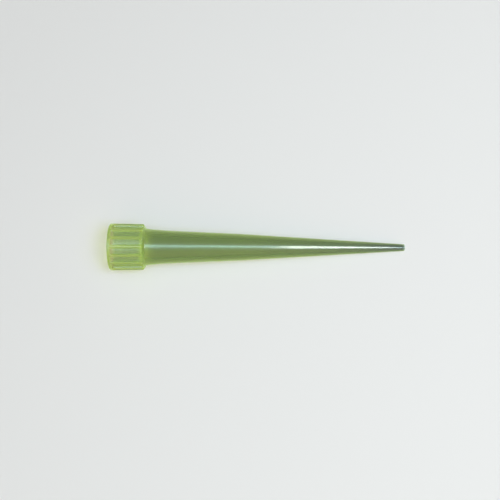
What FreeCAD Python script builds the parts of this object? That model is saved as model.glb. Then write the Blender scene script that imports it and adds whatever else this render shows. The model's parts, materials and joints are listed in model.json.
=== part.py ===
"""Universal 200 microlitre pipette tip, moulded in one piece of polypropylene.

The tip is drawn upright on its own axis, with its mouth at depth 0 and its narrow end at TIP_LENGTH.
It is then laid on its side as it comes to rest on a table: on two neighbouring ribs of its collar, and
on the rim of its narrow end. Millimetres, +Z up, origin at the middle of its footprint, mouth towards -X.
"""
import FreeCAD
import Part

import math
import os

# ---- outside: radii at their depths below the mouth ---------------------------------------------
TIP_LENGTH = 50.0
COLLAR_LENGTH = 5.34            # mouth to the corner of the shoulder
MOUTH_CREST_RADIUS = 3.90       # over the ribs, with draft towards the shoulder
SHOULDER_CREST_RADIUS = 3.83
SHOULDER_ANGLE = 34.0           # slope of the shoulder, from a plane square to the axis
SHOULDER_FOOT_RADIUS = 3.09
SHOULDER_FOOT_FILLET = 0.20
NECK_DEPTH = 8.35               # middle of the long concave flare under the shoulder
NECK_FLARE_RADIUS = 62.0
BEND_DEPTH = 21.5               # the barrel turns here to the steeper taper of its lower part
BEND_RADIUS = 2.265
BEND_BLEND_RADIUS = 60.0
UPPER_SLOPE = 0.0412            # loss of radius for each millimetre, from the neck to the bend
END_RADIUS = 0.58

# ---- inside -------------------------------------------------------------------------------------
MOUTH_CHAMFER_DEPTH = 0.40
MOUTH_CHAMFER_WIDTH = 0.22
SOCKET_MOUTH_RADIUS = 3.04      # the nozzle enters here
SOCKET_FLOOR_RADIUS = 2.92
LEAD_IN_START = 4.50
LAND_RADIUS = 2.60              # cylindrical land that grips the nozzle and seals on it
LAND_START = 5.10
LAND_END = 6.40
NECK_WALL = 0.45
BEND_WALL = 0.43
ORIFICE_RADIUS = 0.28

# ---- rim and ribs of the collar -----------------------------------------------------------------
RIM_WIDTH = 0.60                # plain ring at the mouth, flush with the crests of the ribs
RIM_END_SLOPE = 45.0            # the floor of each gap rises to the rim at this angle
RIB_COUNT = 16
RIB_HEIGHT = 0.30
RIB_CREST_WIDTH = 0.34
RIB_FLANK_ANGLE = 18.0          # each flank leans in from the root to the crest
RIB_EDGE_FILLET = 0.08          # along the crests and in the roots

AXIS = FreeCAD.Vector(0, 0, 1)
CENTRE = FreeCAD.Vector(0, 0, 0)
CLEARANCE = 1.0                 # how far cutting tools reach past what they cut
NEARNESS = 0.02                 # within this of a depth counts as at it


def at(depth, radius, blend=0.0):
    """A corner of a section through the axis, with the radius of the arc that rounds it."""
    return FreeCAD.Vector(radius, 0, depth), blend


def rounded_wire(corners):
    """A closed wire through the corners, each rounded by an arc tangent to both of its sides."""
    sides = []
    for index, (corner, blend) in enumerate(corners):
        back = (corners[index - 1][0] - corner).normalize()
        ahead = (corners[(index + 1) % len(corners)][0] - corner).normalize()
        half_angle = back.getAngle(ahead) / 2
        reach = blend / math.tan(half_angle)
        sink = blend / math.sin(half_angle) - blend
        middle = corner + (back + ahead).normalize() * sink
        sides.append((corner + back * reach, middle, corner + ahead * reach, blend))

    edges = []
    for index, (start, middle, end, blend) in enumerate(sides):
        if blend:
            edges.append(Part.Arc(start, middle, end).toShape())
        next_start = sides[(index + 1) % len(sides)][0]
        edges.append(Part.LineSegment(end, next_start).toShape())
    return Part.Wire(edges)


def revolved(corners):
    """The solid that a closed section sweeps round the axis."""
    return Part.Face(rounded_wire(corners)).revolve(CENTRE, AXIS, 360)


def crest_radius(depth):
    """Radius over the ribs, on the drafted line from the mouth to the shoulder."""
    draft = (MOUTH_CREST_RADIUS - SHOULDER_CREST_RADIUS) / COLLAR_LENGTH
    return MOUTH_CREST_RADIUS - draft * depth


def upper_radius(depth):
    """Outside radius of the straight upper barrel, from the neck to the bend."""
    return BEND_RADIUS + UPPER_SLOPE * (BEND_DEPTH - depth)


def outside():
    """The tip as a full solid, with its collar still smooth over the crests of the ribs."""
    shoulder_drop = SHOULDER_CREST_RADIUS - SHOULDER_FOOT_RADIUS
    foot_depth = COLLAR_LENGTH + shoulder_drop * math.tan(math.radians(SHOULDER_ANGLE))
    return revolved([
        at(0, 0),
        at(0, MOUTH_CREST_RADIUS),
        at(COLLAR_LENGTH, SHOULDER_CREST_RADIUS),
        at(foot_depth, SHOULDER_FOOT_RADIUS, SHOULDER_FOOT_FILLET),
        at(NECK_DEPTH, upper_radius(NECK_DEPTH), NECK_FLARE_RADIUS),
        at(BEND_DEPTH, BEND_RADIUS, BEND_BLEND_RADIUS),
        at(TIP_LENGTH, END_RADIUS),
        at(TIP_LENGTH, 0),
    ])


def bore():
    """The hollow: chamfered mouth, socket, sealing land, and the taper down to the orifice."""
    return revolved([
        at(0, 0),
        at(0, SOCKET_MOUTH_RADIUS + MOUTH_CHAMFER_WIDTH),
        at(MOUTH_CHAMFER_DEPTH, SOCKET_MOUTH_RADIUS),
        at(LEAD_IN_START, SOCKET_FLOOR_RADIUS),
        at(LAND_START, LAND_RADIUS),
        at(LAND_END, LAND_RADIUS),
        at(NECK_DEPTH, upper_radius(NECK_DEPTH) - NECK_WALL),
        at(BEND_DEPTH, BEND_RADIUS - BEND_WALL),
        at(TIP_LENGTH, ORIFICE_RADIUS),
        at(TIP_LENGTH, 0),
    ])


def gap_floor_start():
    """Depth at which the floors of the gaps begin, below the slopes that end the rim."""
    return RIM_WIDTH + RIB_HEIGHT / math.tan(math.radians(RIM_END_SLOPE))


def collar_ring():
    """A ring that covers everything outside the roots of the ribs, from the rim to past the shoulder."""
    above, below = gap_floor_start(), COLLAR_LENGTH + CLEARANCE
    floor = crest_radius(above) - RIB_HEIGHT
    outer = MOUTH_CREST_RADIUS + CLEARANCE
    return revolved([
        at(above, floor),
        at(above - (outer - floor) / math.tan(math.radians(RIM_END_SLOPE)), outer),
        at(below, outer),
        at(below, crest_radius(below) - RIB_HEIGHT),
    ])


def rib_bar():
    """A long bar with the flanks of one rib, which runs past the rib at its root, crest and ends."""
    widening = math.tan(math.radians(RIB_FLANK_ANGLE))
    inner = SHOULDER_CREST_RADIUS - RIB_HEIGHT - CLEARANCE
    outer = MOUTH_CREST_RADIUS + CLEARANCE / 4

    def half_width(radius):
        return RIB_CREST_WIDTH / 2 + widening * (MOUTH_CREST_RADIUS - radius)

    top = -2 * CLEARANCE
    section = Part.makePolygon([
        FreeCAD.Vector(inner, -half_width(inner), top),
        FreeCAD.Vector(outer, -half_width(outer), top),
        FreeCAD.Vector(outer, half_width(outer), top),
        FreeCAD.Vector(inner, half_width(inner), top),
        FreeCAD.Vector(inner, -half_width(inner), top),
    ])
    return Part.Face(section).extrude(AXIS * (COLLAR_LENGTH + 4 * CLEARANCE))


def rib_gaps():
    """What is cut from the smooth collar to leave the ribs, with one gap on the +X side."""
    pitch = 360 / RIB_COUNT
    bars = []
    for index in range(RIB_COUNT):
        bar = rib_bar()
        bar.rotate(CENTRE, AXIS, (index + 0.5) * pitch)
        bars.append(bar)
    ring = collar_ring()
    ring.rotate(CENTRE, AXIS, pitch / 2)        # the seam of the swept ring goes under a rib
    return ring.cut(bars)


def rib_edges(solid):
    """The long edges of the crests and roots, which run from the rim to the shoulder."""
    edges = []
    for edge in solid.Edges:
        depths = [vertex.Z for vertex in edge.Vertexes]
        if min(depths) < gap_floor_start() + NEARNESS and max(depths) > COLLAR_LENGTH - NEARNESS:
            edges.append(edge)
    return edges


def upright_tip():
    """The finished tip on its own axis."""
    ribbed = outside().cut(rib_gaps()).Solids[0]
    ribbed = ribbed.makeFillet(RIB_EDGE_FILLET, rib_edges(ribbed)).Solids[0]
    return ribbed.cut(bore()).Solids[0]


def rest_tilt():
    """Angle of the axis to the table, with the shoulder's lowest crests and the narrow end on it."""
    gap_half_angle = math.pi / RIB_COUNT - RIB_CREST_WIDTH / 2 / SHOULDER_CREST_RADIUS
    shoulder_height = SHOULDER_CREST_RADIUS * math.cos(gap_half_angle)
    return math.degrees(math.atan2(shoulder_height - END_RADIUS, TIP_LENGTH - COLLAR_LENGTH))


def laid_down(tip):
    """The tip on its side, with a gap between ribs straight down and its mouth towards -X."""
    tip.rotate(CENTRE, FreeCAD.Vector(0, 1, 0), 90 + rest_tilt())
    box = tip.optimalBoundingBox()
    tip.translate(FreeCAD.Vector(-box.Center.x, -box.Center.y, -box.ZMin))
    return tip


def main():
    os.makedirs("parts", exist_ok=True)
    tip = laid_down(upright_tip())
    if not tip.isValid():
        raise ValueError("the tip is not a valid solid")
    tip.exportStep("parts/pipette_tip.step")
    print(f"pipette_tip: {tip.Volume:.1f} mm3, rest tilt {rest_tilt():.2f} degrees")


main()
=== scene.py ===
"""The looks of a ribbed 200 microlitre pipette tip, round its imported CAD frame.

The tip is one moulding of tinted polypropylene, so it is one closed mesh: a section through the
wall, carried once round the axis, and drawn in between the ribs of the collar. It stands for the CAD
node, with a finer rim and its small edges rounded, and lies where the frame's socket mount says.
Metres, +Z up.
"""
import json
import math

import bpy
from mathutils import Matrix, Vector


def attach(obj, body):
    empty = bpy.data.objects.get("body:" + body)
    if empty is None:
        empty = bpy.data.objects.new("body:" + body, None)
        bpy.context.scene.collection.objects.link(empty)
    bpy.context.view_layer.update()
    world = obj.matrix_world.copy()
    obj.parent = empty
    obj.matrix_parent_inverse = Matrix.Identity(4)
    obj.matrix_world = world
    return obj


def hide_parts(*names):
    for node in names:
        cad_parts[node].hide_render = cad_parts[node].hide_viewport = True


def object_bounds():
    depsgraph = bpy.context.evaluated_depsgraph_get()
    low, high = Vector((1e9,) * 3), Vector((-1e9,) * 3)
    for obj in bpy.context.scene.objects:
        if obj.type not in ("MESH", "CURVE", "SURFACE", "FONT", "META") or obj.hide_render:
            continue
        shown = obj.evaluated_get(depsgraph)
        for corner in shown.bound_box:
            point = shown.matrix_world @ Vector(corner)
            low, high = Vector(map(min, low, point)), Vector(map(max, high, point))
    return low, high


bl_info = {
    "name": "Pipette Tip",
    "version": (1, 0, 0),
    "blender": (4, 5, 0),
    "location": "3D View > Sidebar > Pipette Tip",
    "description": "Moulds a ribbed pipette tip round its CAD frame and sets a small studio for it",
    "category": "Add Mesh",
}

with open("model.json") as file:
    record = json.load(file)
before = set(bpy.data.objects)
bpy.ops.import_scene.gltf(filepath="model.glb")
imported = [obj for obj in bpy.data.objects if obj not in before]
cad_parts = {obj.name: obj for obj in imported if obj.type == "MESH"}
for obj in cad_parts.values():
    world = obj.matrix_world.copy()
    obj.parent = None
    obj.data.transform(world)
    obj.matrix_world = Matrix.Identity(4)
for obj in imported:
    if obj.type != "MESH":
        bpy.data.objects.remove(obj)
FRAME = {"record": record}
CAD_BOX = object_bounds()
CAD_NODE = "pipette_tip"
BODY = "root"
MM = 0.001

# ---- what the frame says ------------------------------------------------------------------------
SOCKET = next(mount for mount in FRAME["record"]["mounts"] if mount["name"] == "nozzle_socket")
LAND_RADIUS = SOCKET["dims"]["r_mm"] * MM
LAND_LENGTH = SOCKET["dims"]["length_mm"] * MM
TOWARDS_END = -Vector(SOCKET["axis"])
SIDEWAYS = Vector((0, 1, 0))
UP = Vector((0, 0, 1))

# ---- how finely curves are drawn ----------------------------------------------------------------
# Steps round each corner, the longest step along the wall, and steps across half a gap.
CORNER_STEPS = 5
RUN_STEP = 1.0 * MM
GAP_STEPS = 4

# ---- how the tint changes along the tip ---------------------------------------------------------
# Lengths over which one tint turns into the next, and of the bands that keep their own.
RIM_FADE = 0.10 * MM
SLOPE_FADE = 0.25 * MM
# Half width of the painted highlight on the corner of the shoulder.
SHOULDER_HIGHLIGHT_BAND = 0.15 * MM
SHOULDER_FADE_IN = 0.25 * MM
# Width of the painted shade in the crease at the foot of the shoulder.
FOOT_CREASE_SHADE = 0.17 * MM
LAND_FADE = 0.90 * MM
FINE_STRETCH = 9.0 * MM
CUT_FADE = 0.15 * MM
# Length of the painted highlight on the cut of the narrow end.
CUT_HIGHLIGHT_BAND = 0.09 * MM

# ---- how the surface varies ---------------------------------------------------------------------
POLYPROPYLENE_IOR = 1.49
# How many times longer than wide the clouds and the lines are, and how finely each is broken up.
CLOUD_STRETCH = 4
CLOUD_DETAIL = 3
LINE_STRETCH = 80
LINE_DETAIL = 2
NOISE_ROUGHNESS = 0.6
# The range of the noise that is spread over the whole effect.
NOISE_LOW = 0.3
NOISE_HIGH = 0.7
# Share by which the roughness rises and falls.
SATIN_VARIATION = 0.3

# ---- the studio ---------------------------------------------------------------------------------
FLOOR_REACH = 1.5
SENSOR_WIDTH = 36
NEAREST_SEEN = 1.0 * MM
# Where the camera looks, from the middle of the tip.
CAMERA_AIM = Vector((-1.65, -0.80, 0)) * MM
# Each lamp's name, its sizes along X and Y before it is turned to the tip, its colour and its place.
LAMPS = (
    ("sky", 0.52, 0.49, (0.78, 0.95, 1), (0.10, -0.035, 0.40)),
    ("halo", 0.52, 0.25, (0.62, 0.90, 1), (0.10, -0.050, 0.40)),
    ("window", 1.2, 0.8, (1, 0.75, 0.35), (0, -0.80, 0.50)),
    ("collar", 0.14, 0.40, (0.75, 0.93, 1), (-0.085, -0.050, 0.40)),
    ("strip", 0.143, 0.12, (0.50, 0.86, 1), (0.063, -0.045, 0.40)),
    ("panel", 0.108, 0.20, (0.93, 0.97, 1), (0.197, -0.082, 0.40)),
    ("tail", 0.046, 0.20, (0.55, 0.90, 1), (0.288, -0.082, 0.40)),
)


# ---- the moulding -------------------------------------------------------------------------------
def corner_points(before, corner, after, reach):
    """Points of the curve that rounds a corner, from reach before it to reach after it."""
    start = corner + (before - corner).normalized() * reach
    end = corner + (after - corner).normalized() * reach
    points = []
    for step in range(CORNER_STEPS + 1):
        share = step / CORNER_STEPS
        points.append(start.lerp(corner, share).lerp(corner.lerp(end, share), share))
    return points


def run_points(start, end, steps):
    """Points that divide a straight run, both ends left out."""
    return [start.lerp(end, step / steps) for step in range(1, steps)]


def rounded_loop(corners, run_steps):
    """Points round a closed outline, from its (corner, reach) pairs and the steps of each run."""
    count = len(corners)
    rounded = []
    for index, (corner, reach) in enumerate(corners):
        before = corners[index - 1][0]
        after = corners[(index + 1) % count][0]
        rounded.append(corner_points(before, corner, after, reach))
    points = []
    for index, curve in enumerate(rounded):
        following = rounded[(index + 1) % count]
        points += curve + run_points(curve[-1], following[0], run_steps[index])
    return points


def foot_depth(sizes):
    """Depth of the foot of the shoulder."""
    step_in = sizes.shoulder_radius - sizes.foot_radius
    return sizes.collar_length + step_in * math.tan(sizes.shoulder_angle)


def wall_corners(sizes, drop):
    """The wall's section as (corner, reach) pairs, each corner at (depth, radius). drop is how far
    the collar lies below the crests of the ribs there."""
    draft = (sizes.mouth_radius - sizes.shoulder_radius) / sizes.collar_length
    shoulder = sizes.collar_length + drop / (1 / math.tan(sizes.shoulder_angle) - draft)
    gap_start = sizes.rim_width + sizes.rim_slope
    land_end = sizes.land_start + LAND_LENGTH
    edge = sizes.edge_rounding
    outside = [
        (0, sizes.mouth_radius, edge),
        (sizes.rim_width, sizes.mouth_radius - draft * sizes.rim_width, edge),
        (gap_start, sizes.mouth_radius - draft * gap_start - drop, edge),
        (shoulder, sizes.mouth_radius - draft * shoulder - drop, edge),
        (foot_depth(sizes), sizes.foot_radius, edge),
        (sizes.neck_depth, sizes.neck_radius, sizes.neck_blend),
        (sizes.bend_depth, sizes.bend_radius, sizes.bend_blend),
        (sizes.length, sizes.end_radius, sizes.end_rounding),
    ]
    inside = [
        (sizes.length, sizes.orifice_radius, sizes.end_rounding),
        (sizes.bend_depth, sizes.bend_radius - sizes.barrel_wall, sizes.bend_blend),
        (sizes.neck_depth, sizes.neck_radius - sizes.neck_wall, sizes.bend_blend),
        (land_end, LAND_RADIUS, edge),
        (sizes.land_start, LAND_RADIUS, edge),
        (sizes.lead_in_start, sizes.socket_floor_radius, edge),
        (sizes.chamfer_depth, sizes.socket_radius, edge / 2),
        (0, sizes.socket_radius + sizes.chamfer_width, edge),
    ]
    return [(Vector((depth, radius)), reach) for depth, radius, reach in outside + inside]


def rib_half(sizes):
    """(distance round the collar, height) points across half a rib, from its middle to mid gap."""
    height = sizes.rib_height
    half_crest = sizes.rib_crest_width / 2
    half_root = half_crest + height * math.tan(sizes.rib_flank_angle)
    half_pitch = math.pi * (sizes.mouth_radius - height) / sizes.rib_count
    middle = Vector((0, height))
    crest = Vector((half_crest, height))
    root = Vector((half_root, 0))
    gap = Vector((half_pitch, 0))
    crest_curve = corner_points(middle, crest, root, sizes.edge_rounding)
    root_curve = corner_points(crest, root, gap, sizes.edge_rounding)
    floor = run_points(root_curve[-1], gap, GAP_STEPS)
    return [middle] + crest_curve + root_curve + floor + [gap]


def columns(sizes):
    """(angle, drop) of each column of the mesh, once round, from the middle of the lowest gap."""
    pitch = 2 * math.pi / sizes.rib_count
    half = []
    for distance, height in rib_half(sizes):
        drop = sizes.rib_height - height
        half.append((distance / (sizes.mouth_radius - drop), drop))
    half[-1] = (pitch / 2, sizes.rib_height)
    around = []
    for rib in range(sizes.rib_count):
        middle = (rib + 0.5) * pitch
        around += [(middle - angle, drop) for angle, drop in reversed(half)]
        around += [(middle + angle, drop) for angle, drop in half[1:-1]]
    return around


def tip_mesh(sizes):
    """The whole moulding as a closed mesh on its own axis, mouth at the origin and end along +Z."""
    crest_section = wall_corners(sizes, 0)
    following = crest_section[1:] + crest_section[:1]
    run_steps = []
    for (corner, _), (next_corner, _) in zip(crest_section, following):
        run_steps.append(math.ceil((next_corner - corner).length / RUN_STEP))
    vertices = []
    around = columns(sizes)
    for angle, drop in around:
        for depth, radius in rounded_loop(wall_corners(sizes, drop), run_steps):
            vertices.append((radius * math.cos(angle), radius * math.sin(angle), depth))
    rows = len(vertices) // len(around)
    faces = []
    for column in range(len(around)):
        here = column * rows
        there = (column + 1) % len(around) * rows
        for row in range(rows):
            after = (row + 1) % rows
            faces.append((here + row, there + row, there + after, here + after))
    mesh = bpy.data.meshes.new("pipette_tip_moulding")
    mesh.from_pydata(vertices, [], faces)
    mesh.shade_smooth()
    return mesh


def tip_placement(sizes):
    """Where the tip lies: its own X points down, and its own Z from the mouth to the end."""
    middle_of_land = sizes.land_start + LAND_LENGTH / 2
    mouth = Vector(SOCKET["pos_m"]) - TOWARDS_END * middle_of_land
    down = SIDEWAYS.cross(TOWARDS_END)
    turn = Matrix((down, SIDEWAYS, TOWARDS_END)).transposed()
    return Matrix.Translation(mouth) @ turn.to_4x4()


# ---- materials ----------------------------------------------------------------------------------
def new_material(name):
    """An empty node material, with its output node."""
    material = bpy.data.materials.new(name)
    material.use_nodes = True
    material.node_tree.nodes.clear()
    return material, material.node_tree.nodes.new("ShaderNodeOutputMaterial")


def set_inputs(node, **values):
    """Fills sockets of a node. A socket's name has _ for each space."""
    for name, value in values.items():
        node.inputs[name.replace("_", " ")].default_value = value
    return node


def along_the_tip(nodes, link, sizes):
    """Surface points in the tip's own space: its axis is Z, and depth below the mouth is Z."""
    place = nodes.new("ShaderNodeTexCoord")
    own = nodes.new("ShaderNodeMapping")
    own.vector_type = "TEXTURE"
    placement = tip_placement(sizes)
    set_inputs(own, Location=placement.to_translation(), Rotation=placement.to_euler())
    link(place.outputs["Object"], own.inputs["Vector"])
    return own.outputs["Vector"]


def map_range(nodes, link, value, from_low, from_high, to_low=0.0, to_high=1.0):
    """A value carried from one range to another, and clamped there."""
    node = nodes.new("ShaderNodeMapRange")
    set_inputs(node, From_Min=from_low, From_Max=from_high, To_Min=to_low, To_Max=to_high)
    link(value, node.inputs["Value"])
    return node.outputs["Result"]


def stretched_noise(nodes, link, vector, stretch, scale, detail):
    """Noise drawn out along the axis, stretch times as long as it is wide."""
    squeeze = nodes.new("ShaderNodeVectorMath")
    squeeze.operation = "MULTIPLY"
    squeeze.inputs[1].default_value = (1, 1, 1 / stretch)
    link(vector, squeeze.inputs[0])
    noise = set_inputs(
        nodes.new("ShaderNodeTexNoise"), Scale=scale, Detail=detail, Roughness=NOISE_ROUGHNESS)
    link(squeeze.outputs["Vector"], noise.inputs["Vector"])
    return noise.outputs["Fac"]


def mixed(nodes, link, blend, factor, first, second):
    """Two colours mixed. Each of factor, first and second is a socket or a plain value."""
    node = nodes.new("ShaderNodeMix")
    node.data_type = "RGBA"
    node.blend_type = blend
    for name, given in (("Factor", factor), ("A", first), ("B", second)):
        socket = next(entry for entry in node.inputs if entry.enabled and entry.name == name)
        if isinstance(given, bpy.types.NodeSocket):
            link(given, socket)
        else:
            socket.default_value = given
    return next(entry for entry in node.outputs if entry.enabled)


def tint_along(nodes, link, depth, sizes, finish):
    """The tint from mouth to end: rim, slopes to the gaps, gaps, a painted highlight on the corner of
    the shoulder, painted shade in the crease at its foot, a lighter band round the sealing land,
    barrel, fine end darkening into painted shade, and a painted highlight on the cut."""
    gaps = sizes.rim_width + sizes.rim_slope
    shoulder = sizes.collar_length
    foot = foot_depth(sizes)
    land_end = sizes.land_start + LAND_LENGTH
    cut = sizes.length - CUT_HIGHLIGHT_BAND
    stops = [
        (0, finish.collar_tint),
        (sizes.rim_width - RIM_FADE, finish.collar_tint),
        (sizes.rim_width, finish.slope_tint),
        (gaps, finish.slope_tint),
        (gaps + SLOPE_FADE, finish.collar_tint),
        (shoulder - SHOULDER_HIGHLIGHT_BAND - SHOULDER_FADE_IN, finish.collar_tint),
        # Painted highlight: a lighter band on the corner of the shoulder.
        (shoulder - SHOULDER_HIGHLIGHT_BAND, finish.shoulder_highlight_tint),
        (shoulder + SHOULDER_HIGHLIGHT_BAND, finish.shoulder_highlight_tint),
        # Painted shade: a darker line in the crease at the foot of the shoulder.
        (foot - FOOT_CREASE_SHADE, finish.barrel_tint),
        (foot, finish.land_tint),
        (land_end + LAND_FADE, finish.barrel_tint),
        (sizes.bend_depth, finish.barrel_tint),
        (sizes.length - FINE_STRETCH, finish.fine_tint),
        # Painted shade: the fine end darkens and turns bluer towards the cut.
        (cut - CUT_FADE, finish.end_shade_tint),
        # Painted highlight: the face and edge of the cut are tinted light.
        (cut, finish.cut_highlight_tint),
    ]
    ramp = nodes.new("ShaderNodeValToRGB")
    elements = ramp.color_ramp.elements
    elements.remove(elements[1])
    elements[0].color = (*stops[0][1], 1)
    for stop, colour in stops[1:]:
        elements.new(stop / sizes.length).color = (*colour, 1)
    link(map_range(nodes, link, depth, 0, sizes.length), ramp.inputs["Fac"])
    return ramp.outputs["Color"]


def tinted_polypropylene(sizes, finish):
    """Translucent moulded polypropylene. Its tint changes along the tip with the thickness of the wall,
    and some of it is painted light: painted highlights on the crests of the ribs, the corner of the
    shoulder and the cut, and painted shade in the crease at the foot of the shoulder and towards the
    cut. It has faint clouds. Its gloss has the fine lengthwise lines of the polished mould, a soft haze
    round each glint, and the glow of a tinted wall seen edge-on."""
    material, output = new_material("tinted_polypropylene_moulding")
    nodes = material.node_tree.nodes
    link = material.node_tree.links.new
    own = along_the_tip(nodes, link, sizes)
    split = nodes.new("ShaderNodeSeparateXYZ")
    link(own, split.inputs["Vector"])
    across = nodes.new("ShaderNodeVectorMath")
    across.operation = "MULTIPLY"
    across.inputs[1].default_value = (1, 1, 0)
    link(own, across.inputs[0])
    radius = nodes.new("ShaderNodeVectorMath")
    radius.operation = "LENGTH"
    link(across.outputs["Vector"], radius.inputs[0])

    tint = tint_along(nodes, link, split.outputs["Z"], sizes, finish)
    # Painted highlight: the crests of the ribs, and the rim flush with them, are tinted paler for the
    # light they catch.
    half_way_up = sizes.mouth_radius - sizes.rib_height / 2
    crest = map_range(nodes, link, radius.outputs["Value"], half_way_up, sizes.shoulder_radius)
    tint = mixed(nodes, link, "MIX", crest, tint, (*finish.crest_highlight_tint, 1))
    cloud = stretched_noise(nodes, link, own, CLOUD_STRETCH, finish.cloud_scale, CLOUD_DETAIL)
    cloud = map_range(nodes, link, cloud, NOISE_LOW, NOISE_HIGH, 1 - finish.cloudiness, 1)
    tint = mixed(nodes, link, "MULTIPLY", 1.0, tint, cloud)
    lines = stretched_noise(nodes, link, own, LINE_STRETCH, finish.line_scale, LINE_DETAIL)
    smoothest = finish.roughness * (1 - SATIN_VARIATION)
    roughest = finish.roughness * (1 + SATIN_VARIATION)
    satin = map_range(nodes, link, lines, NOISE_LOW, NOISE_HIGH, smoothest, roughest)
    bump = set_inputs(
        nodes.new("ShaderNodeBump"), Strength=finish.line_strength, Distance=finish.line_depth)
    link(lines, bump.inputs["Height"])

    shader = set_inputs(
        nodes.new("ShaderNodeBsdfPrincipled"),
        IOR=POLYPROPYLENE_IOR, Transmission_Weight=finish.clearness,
        Coat_Weight=finish.haze, Coat_Roughness=finish.haze_spread,
        Sheen_Weight=finish.edge_glow, Sheen_Roughness=finish.edge_glow_spread,
        Sheen_Tint=(*finish.edge_glow_tint, 1))
    link(tint, shader.inputs["Base Color"])
    link(satin, shader.inputs["Roughness"])
    link(bump.outputs["Normal"], shader.inputs["Normal"])

    # In the shadow, the wall lets tinted light straight through.
    passing = set_inputs(nodes.new("ShaderNodeBsdfTransparent"), Color=(*finish.shadow_tint, 1))
    path = nodes.new("ShaderNodeLightPath")
    surface = nodes.new("ShaderNodeMixShader")
    link(path.outputs["Is Shadow Ray"], surface.inputs["Fac"])
    link(shader.outputs["BSDF"], surface.inputs[1])
    link(passing.outputs["BSDF"], surface.inputs[2])
    link(surface.outputs["Shader"], output.inputs["Surface"])
    inside = set_inputs(
        nodes.new("ShaderNodeVolumeAbsorption"), Color=(*finish.depth_tint, 1),
        Density=finish.depth_density)
    link(inside.outputs["Volume"], output.inputs["Volume"])
    return material


def plain_floor(settings):
    """Matt pale floor that fades into the backdrop away from the tip."""
    material, output = new_material("plain_floor")
    nodes = material.node_tree.nodes
    link = material.node_tree.links.new
    place = nodes.new("ShaderNodeTexCoord")
    distance = nodes.new("ShaderNodeVectorMath")
    distance.operation = "LENGTH"
    link(place.outputs["Object"], distance.inputs[0])
    faded = map_range(nodes, link, distance.outputs["Value"], settings.fade_start, settings.fade_end)
    matt = set_inputs(nodes.new("ShaderNodeBsdfDiffuse"), Color=(*settings.floor_colour, 1))
    clear = nodes.new("ShaderNodeBsdfTransparent")
    surface = nodes.new("ShaderNodeMixShader")
    link(faded, surface.inputs["Fac"])
    link(matt.outputs["BSDF"], surface.inputs[1])
    link(clear.outputs["BSDF"], surface.inputs[2])
    link(surface.outputs["Shader"], output.inputs["Surface"])
    return material


def studio_world(settings):
    """Even room light, with a pale backdrop where it is looked at, mirrored or seen through the tip."""
    world = bpy.data.worlds.new("studio")
    world.use_nodes = True
    nodes = world.node_tree.nodes
    link = world.node_tree.links.new
    nodes.clear()
    path = nodes.new("ShaderNodeLightPath")
    seen = path.outputs["Is Camera Ray"]
    for kind in ("Is Glossy Ray", "Is Transmission Ray"):
        either = nodes.new("ShaderNodeMath")
        either.operation = "MAXIMUM"
        link(seen, either.inputs[0])
        link(path.outputs[kind], either.inputs[1])
        seen = either.outputs["Value"]
    room = set_inputs(
        nodes.new("ShaderNodeBackground"), Color=(*settings.room_colour, 1),
        Strength=settings.room_strength)
    backdrop = set_inputs(nodes.new("ShaderNodeBackground"), Color=(*settings.backdrop_colour, 1))
    both = nodes.new("ShaderNodeMixShader")
    link(seen, both.inputs["Fac"])
    link(room.outputs["Background"], both.inputs[1])
    link(backdrop.outputs["Background"], both.inputs[2])
    output = nodes.new("ShaderNodeOutputWorld")
    link(both.outputs["Shader"], output.inputs["Surface"])
    return world


# ---- settings -----------------------------------------------------------------------------------
def length_setting(name, description, millimetres):
    """A length the user may change."""
    return bpy.props.FloatProperty(
        name=name, description=description, default=millimetres * MM, unit="LENGTH", precision=5)


def angle_setting(name, description, degrees):
    """An angle the user may change."""
    return bpy.props.FloatProperty(
        name=name, description=description, default=math.radians(degrees), unit="ROTATION")


def colour_setting(name, description, colour):
    """A colour the user may change."""
    return bpy.props.FloatVectorProperty(
        name=name, description=description, default=colour, min=0, max=1, subtype="COLOR")


def amount_setting(name, description, value):
    """A plain number the user may change."""
    return bpy.props.FloatProperty(
        name=name, description=description, default=value, min=0, precision=3)


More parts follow.
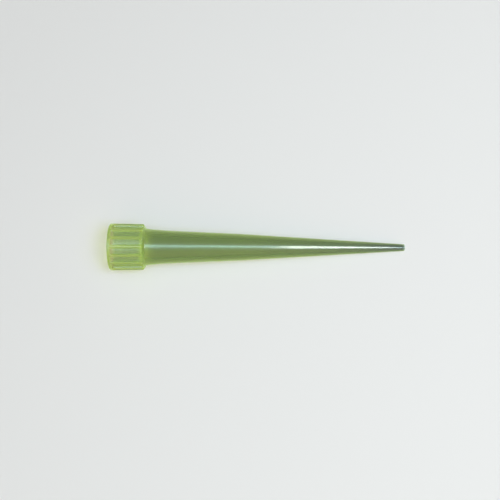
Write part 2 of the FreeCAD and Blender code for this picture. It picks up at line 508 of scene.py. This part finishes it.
class TipSizes(bpy.types.PropertyGroup):
    """Sizes of the moulding."""
    length: length_setting("Length", "Mouth to narrow end", 50.0)
    collar_length: length_setting("Collar length", "Mouth to the corner of the shoulder", 5.34)
    mouth_radius: length_setting("Mouth radius", "Over the ribs at the mouth", 3.895)
    shoulder_radius: length_setting("Shoulder radius", "Over the ribs at the shoulder", 3.83)
    shoulder_angle: angle_setting("Shoulder angle", "Slope of the shoulder", 34)
    foot_radius: length_setting("Foot radius", "Barrel where the shoulder meets it", 3.09)
    neck_depth: length_setting("Neck depth", "Middle of the flare under the shoulder", 8.35)
    neck_radius: length_setting("Neck radius", "Barrel at the neck", 2.807)
    neck_blend: length_setting("Neck blend", "How far the flare reaches each way", 2.15)
    bend_depth: length_setting("Bend depth", "Where the taper of the barrel steepens", 21.5)
    bend_radius: length_setting("Bend radius", "Barrel at the bend", 2.265)
    bend_blend: length_setting("Bend blend", "How far the bend's curve reaches each way", 0.6)
    end_radius: length_setting("End radius", "Outside of the narrow end", 0.58)
    orifice_radius: length_setting("Orifice radius", "Hole of the narrow end", 0.28)
    neck_wall: length_setting("Neck wall", "Wall at the neck", 0.45)
    barrel_wall: length_setting("Barrel wall", "Wall at the bend", 0.43)
    land_start: length_setting("Land start", "Depth of the sealing land", 5.10)
    lead_in_start: length_setting("Lead-in start", "Depth of the cone that leads to the land", 4.50)
    socket_floor_radius: length_setting("Socket floor radius", "Socket at the lead-in", 2.92)
    socket_radius: length_setting("Socket radius", "Socket under its chamfer", 3.04)
    chamfer_depth: length_setting("Chamfer depth", "Depth of the chamfer of the mouth", 0.40)
    chamfer_width: length_setting("Chamfer width", "Width of the chamfer of the mouth", 0.22)
    rim_width: length_setting("Rim width", "Plain ring at the mouth, flush with the ribs", 0.35)
    rim_slope: length_setting("Rim slope", "Length of the slope from the rim down to each gap", 0.45)
    rib_count: bpy.props.IntProperty(name="Ribs", description="Ribs of the collar", default=16)
    rib_height: length_setting("Rib height", "Ribs above the gaps", 0.30)
    rib_crest_width: length_setting("Rib crest width", "Flat top of each rib", 0.34)
    rib_flank_angle: angle_setting("Rib flank angle", "Lean of each flank", 18)
    edge_rounding: length_setting("Edge rounding", "How far the small edges are rounded each way", 0.07)
    end_rounding: length_setting("End rounding", "The same for the edges of the narrow end", 0.03)


class TipFinish(bpy.types.PropertyGroup):
    """Colours and finish of the moulding."""
    collar_tint: colour_setting("Collar tint", "Rim's face, and gaps between ribs", (0.40, 0.49, 0.245))
    slope_tint: colour_setting("Slope tint", "Slopes from the rim down to the gaps", (0.50, 0.48, 0.27))
    # Painted highlight: the paler tint of the crests and the rim stands for the light they catch.
    crest_highlight_tint: colour_setting("Crest tint", "Crests of the ribs, and rim's edge", (0.60, 0.69, 0.22))
    # Painted highlight: the lighter band on the corner of the shoulder.
    shoulder_highlight_tint: colour_setting("Shoulder tint", "Corner of the shoulder", (0.52, 0.64, 0.20))
    # A band lighter than the barrel, just past the foot of the shoulder and round the sealing land.
    land_tint: colour_setting("Land tint", "Thicker wall round the sealing land", (0.39, 0.47, 0.125))
    barrel_tint: colour_setting("Barrel tint", "Barrel from the land to the bend", (0.24, 0.325, 0.105))
    fine_tint: colour_setting("Fine tint", "Thin wall near the end", (0.19, 0.255, 0.14))
    # Painted shade: the dark, bluish last stretch of the barrel before the cut.
    end_shade_tint: colour_setting("End tint", "Last of the barrel before the cut", (0.10, 0.135, 0.145))
    # Painted highlight: the light tint of the cut's face and edge.
    cut_highlight_tint: colour_setting("Cut tint", "Edge and face of the narrow end", (0.50, 0.62, 0.60))
    depth_tint: colour_setting("Depth tint", "Colour of light inside the wall", (0.9375, 0.95, 0.0625))
    shadow_tint: colour_setting("Shadow tint", "Light let through to the shadow", (0.81, 0.825, 0.77))
    depth_density: amount_setting("Depth density", "Absorption inside the wall, for each metre", 550)
    roughness: amount_setting("Roughness", "Satin of the moulded surface", 0.10)
    clearness: amount_setting("Clearness", "Share of the light that passes the surface", 0.70)
    haze: amount_setting("Haze", "Strength of the soft haze round each glint", 0.5)
    haze_spread: amount_setting("Haze spread", "How far from each glint the haze reaches", 0.30)
    edge_glow: amount_setting("Edge glow", "Light from the wall where it is seen edge-on", 1.0)
    edge_glow_spread: amount_setting("Edge glow spread", "How far in from an edge it reaches", 0.60)
    edge_glow_tint: colour_setting("Edge glow tint", "Colour of the edge glow", (0.27, 0.39, 0.0))
    cloudiness: amount_setting("Cloudiness", "How much darker the cloudy places are", 0.10)
    cloud_scale: amount_setting("Cloud scale", "Fineness of the clouds", 700)
    line_scale: amount_setting("Line scale", "Fineness of the lengthwise lines", 3500)
    line_strength: amount_setting("Line strength", "How far the lengthwise lines turn the light", 0.02)
    line_depth: length_setting("Line depth", "Height of the lengthwise lines", 0.01)


class StudioSettings(bpy.types.PropertyGroup):
    """Floor, light and camera."""
    floor_colour: colour_setting("Floor colour", "Plain pale floor", (0.80, 0.74, 0.72))
    backdrop_colour: colour_setting("Backdrop colour", "Plain pale backdrop", (0.78, 0.80, 0.79))
    fade_start: length_setting("Fade start", "Where the floor starts to fade into the backdrop", 62)
    fade_end: length_setting("Fade end", "Where the floor has faded into the backdrop", 190)
    room_colour: colour_setting("Room colour", "Colour of the even light", (1, 0.75, 0.65))
    room_strength: amount_setting("Room light", "Even light from all sides", 0.15)
    sky_strength: amount_setting("Sky light", "Wide soft light overhead", 0.27)
    halo_strength: amount_setting("Halo light", "Soft light round the bright ones", 0.90)
    window_strength: amount_setting("Window light", "Wide warm light in front", 0.50)
    collar_strength: amount_setting("Collar light", "Soft light that the collar reflects", 1.1)
    strip_strength: amount_setting("Strip light", "Light that lines the wide half", 4.3)
    panel_strength: amount_setting("Panel light", "Light that lines the fine half", 16.5)
    tail_strength: amount_setting("Tail light", "Light that lines the narrow end", 5.2)
    camera_elevation: angle_setting("Camera elevation", "Above the horizon", 78)
    camera_roll: angle_setting("Camera roll", "Turn about the view", -0.734)
    camera_distance: length_setting("Camera distance", "From the aim point", 86.24)
    camera_lens: amount_setting("Lens", "Focal length in millimetres", 37.22)


class MouldTip(bpy.types.Operator):
    """Mould the pipette tip round the CAD frame"""
    bl_idname = "pipette_tip.mould"
    bl_label = "Mould the tip"

    def execute(self, context):
        sizes = context.scene.tip_sizes
        mesh = tip_mesh(sizes)
        mesh.transform(tip_placement(sizes))
        tip = bpy.data.objects.new("pipette_tip_moulding", mesh)
        context.scene.collection.objects.link(tip)
        mesh.materials.append(tinted_polypropylene(sizes, context.scene.tip_finish))
        tip.modifiers.new("Weighted normals", "WEIGHTED_NORMAL")
        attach(tip, BODY)
        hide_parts(CAD_NODE)
        return {"FINISHED"}


def lay_floor(scene, settings):
    """The wide flat floor."""
    mesh = bpy.data.meshes.new("floor")
    corners = [(-1, -1), (1, -1), (1, 1), (-1, 1)]
    mesh.from_pydata(
        [(FLOOR_REACH * x, FLOOR_REACH * y, 0) for x, y in corners], [], [(0, 1, 2, 3)])
    mesh.materials.append(plain_floor(settings))
    floor = bpy.data.objects.new("floor", mesh)
    scene.collection.objects.link(floor)


def softbox(scene, name, width, length, brightness, colour, place):
    """A flat lamp that faces the tip. brightness is what a camera would see on it."""
    lamp = bpy.data.lights.new(name, "AREA")
    lamp.shape = "RECTANGLE"
    lamp.size = width
    lamp.size_y = length
    lamp.color = colour
    lamp.energy = brightness * math.pi * width * length
    holder = bpy.data.objects.new(name, lamp)
    holder.location = place
    holder.rotation_euler = UP.rotation_difference(Vector(place)).to_euler()
    holder.visible_camera = False
    scene.collection.objects.link(holder)


def aim_camera(scene, settings):
    """The camera, which looks down on the tip from the front."""
    camera_data = bpy.data.cameras.new("camera")
    camera_data.lens = settings.camera_lens
    camera_data.sensor_width = SENSOR_WIDTH
    camera_data.clip_start = NEAREST_SEEN
    camera = bpy.data.objects.new("camera", camera_data)
    scene.collection.objects.link(camera)

    low, high = CAD_BOX
    centre = (low + high) / 2
    elevation = settings.camera_elevation
    back = Vector((0, -math.cos(elevation), math.sin(elevation)))
    camera.location = centre + CAMERA_AIM + back * settings.camera_distance
    turn = Matrix.Rotation(settings.camera_roll, 4, back)
    look = (-back).to_track_quat("-Z", "Y").to_matrix().to_4x4()
    camera.rotation_euler = (turn @ look).to_euler()
    scene.camera = camera


class SetStudio(bpy.types.Operator):
    """Set the floor, the lamps and the camera"""
    bl_idname = "pipette_tip.studio"
    bl_label = "Set the studio"

    def execute(self, context):
        scene = context.scene
        settings = scene.studio_settings
        scene.view_settings.view_transform = "Standard"
        scene.world = studio_world(settings)
        lay_floor(scene, settings)
        for name, width, length, colour, place in LAMPS:
            brightness = getattr(settings, name + "_strength")
            softbox(scene, name, width, length, brightness, colour, place)
        aim_camera(scene, settings)
        return {"FINISHED"}


class TipPanel(bpy.types.Panel):
    """The steps that make the tip and its studio, and their settings"""
    bl_idname = "PIPETTE_TIP_PT_steps"
    bl_label = "Pipette Tip"
    bl_space_type = "VIEW_3D"
    bl_region_type = "UI"
    bl_category = "Pipette Tip"

    def draw(self, context):
        scene = context.scene
        steps = (
            (MouldTip, (scene.tip_sizes, scene.tip_finish)),
            (SetStudio, (scene.studio_settings,)),
        )
        for step, groups in steps:
            box = self.layout.box()
            box.operator(step.bl_idname)
            for group in groups:
                column = box.column(align=True)
                for setting in type(group).__annotations__:
                    column.prop(group, setting)


SETTING_GROUPS = {"tip_sizes": TipSizes, "tip_finish": TipFinish, "studio_settings": StudioSettings}
CLASSES = (*SETTING_GROUPS.values(), MouldTip, SetStudio, TipPanel)


def register():
    """Adds the classes, and the settings to the scene."""
    for cls in CLASSES:
        bpy.utils.register_class(cls)
    for name, group in SETTING_GROUPS.items():
        setattr(bpy.types.Scene, name, bpy.props.PointerProperty(type=group))


def unregister():
    """Takes away what register added."""
    for name in SETTING_GROUPS:
        delattr(bpy.types.Scene, name)
    for cls in reversed(CLASSES):
        bpy.utils.unregister_class(cls)


def main():
    register()
    bpy.ops.pipette_tip.mould()
    bpy.ops.pipette_tip.studio()


if __name__ == "__main__":
    main()
